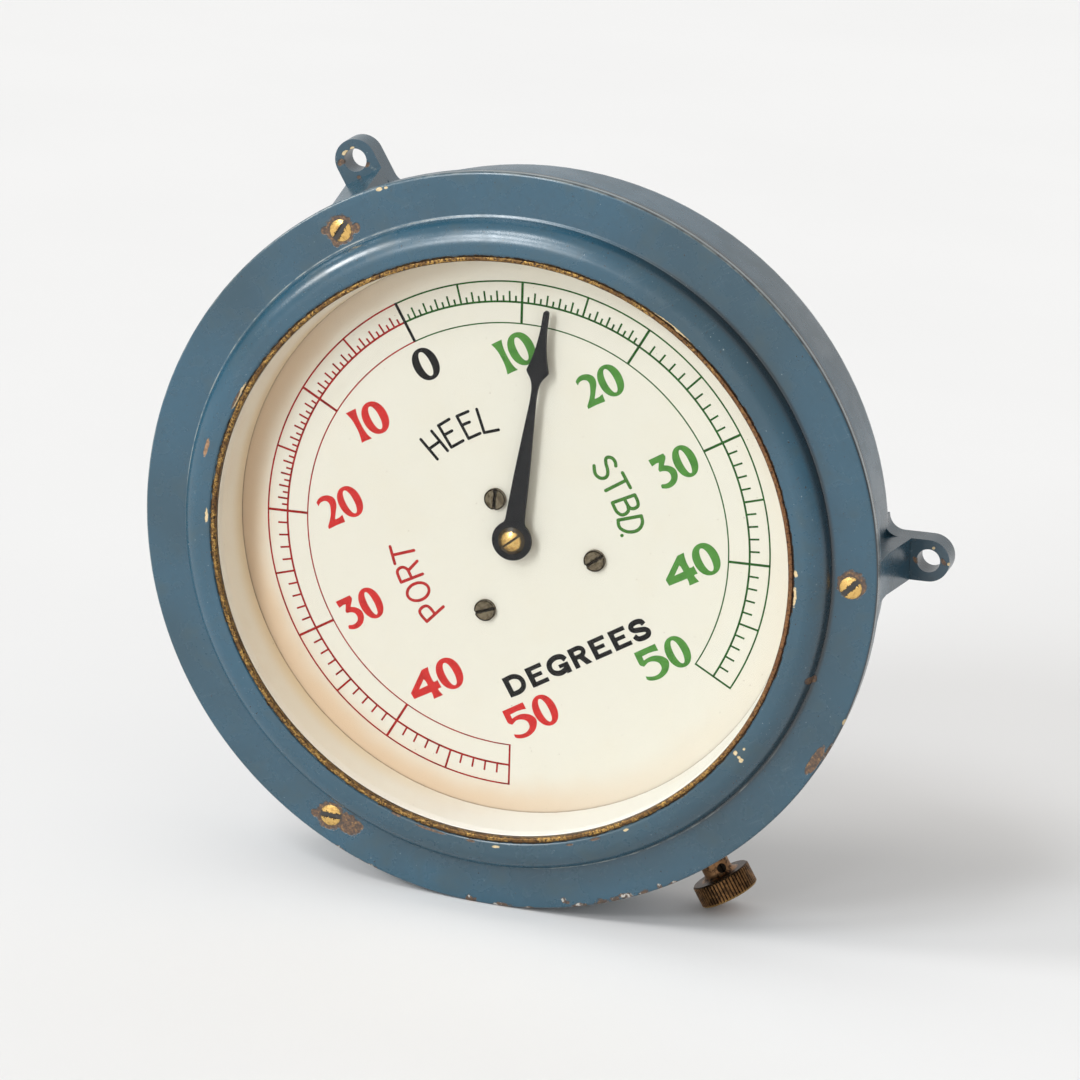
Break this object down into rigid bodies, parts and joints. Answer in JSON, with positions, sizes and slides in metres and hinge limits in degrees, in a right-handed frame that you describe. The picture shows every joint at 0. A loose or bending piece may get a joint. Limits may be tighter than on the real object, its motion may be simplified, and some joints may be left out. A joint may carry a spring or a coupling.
{
  "type": "ship clinometer",
  "caption": "Round bulkhead clinometer: a geared pendulum in a drum case turns a pointer over a heel scale, with a lock knob below.",
  "frame": {"origin": "centre of the circle through the three lug holes, on the flat back that goes against the bulkhead", "axes": "the dial faces -Y, the zero mark and the upper lug point up +Z, starboard is +X, the lock knob points down -Z"},
  "size_m": [0.23, 0.0507, 0.261],
  "materials": {
    "case_paint": "worn blue-grey paint on cast gunmetal",
    "bezel_paint": "worn blue-grey paint, bare brass lip",
    "gasket_rubber": "matt",
    "screw_brass": "polished, slots full of old paint",
    "window_glass": "clear",
    "movement_brass": "satin",
    "ring_white": "satin white",
    "dial_enamel": "satin cream",
    "dial_screw_steel": "dulled",
    "movement_steel": "satin",
    "bush_bronze": "satin",
    "bob_brass": "turned",
    "pointer_black": "matt",
    "brake_leather": "matt",
    "knob_bronze": "aged, bright edges"
  },
  "bodies": {
    "case": {"case_body": "case_paint", "bezel": "bezel_paint", "bezel_gasket": "gasket_rubber", "bezel_screws": "screw_brass", "glass": "window_glass", "glass_seal": "gasket_rubber", "glass_retainer": "movement_brass", "reflector_ring": "ring_white", "dial_plate": "dial_enamel", "dial_screws": "dial_screw_steel", "dial_posts": "movement_brass", "front_plate": "movement_brass", "back_plate": "movement_brass", "pillars": "movement_brass", "pillar_screws": "movement_steel", "foot_screws": "movement_steel", "front_bushes": "bush_bronze", "back_bushes": "bush_bronze", "stop_pins": "movement_steel", "lock_bush": "bush_bronze", "bush_washer": "gasket_rubber"},
    "pendulum": {"pendulum_arbor": "movement_steel", "pendulum_collar": "movement_brass", "pendulum_rod": "movement_steel", "pendulum_hub": "movement_brass", "hub_rivets": "bush_bronze", "sector_gear": "movement_brass", "bob": "bob_brass", "bob_screws": "movement_steel"},
    "pointer_train": {"pointer_arbor": "movement_steel", "pinion": "movement_steel", "pointer_boss": "movement_brass", "pointer": "pointer_black", "pointer_screw": "screw_brass"},
    "brake": {"brake_shoe": "movement_brass", "brake_pad": "brake_leather"},
    "lock": {"lock_spindle": "movement_steel", "lock_knob": "knob_bronze", "knob_set_screw": "movement_steel"}
  },
  "joints": [
    {"name": "pendulum_swing", "type": "hinge", "parent": "case", "child": "pendulum", "pos_m": [0, -0.017, -0.0256], "axis": [0, -1, 0], "range_deg": [-62.33, 37.67]},
    {"name": "pointer_turn", "type": "hinge", "parent": "case", "child": "pointer_train", "pos_m": [0, -0.017, 0], "axis": [0, -1, 0], "range_deg": [-113.2, 187.2]},
    {"name": "brake_slide", "type": "slide", "parent": "case", "child": "brake", "axis": [0, 0, -1], "range_m": [0, 0.003]},
    {"name": "lock_turn", "type": "hinge", "parent": "brake", "child": "lock", "pos_m": [0, -0.0095, -0.12], "axis": [0, 0, -1], "range_deg": [0, 1081]}
  ],
  "couplings": [
    {"joint": "pointer_turn", "follows": "pendulum_swing", "ratio": -3},
    {"joint": "lock_turn", "follows": "brake_slide", "rad_per_m": 6283.2}
  ]
}
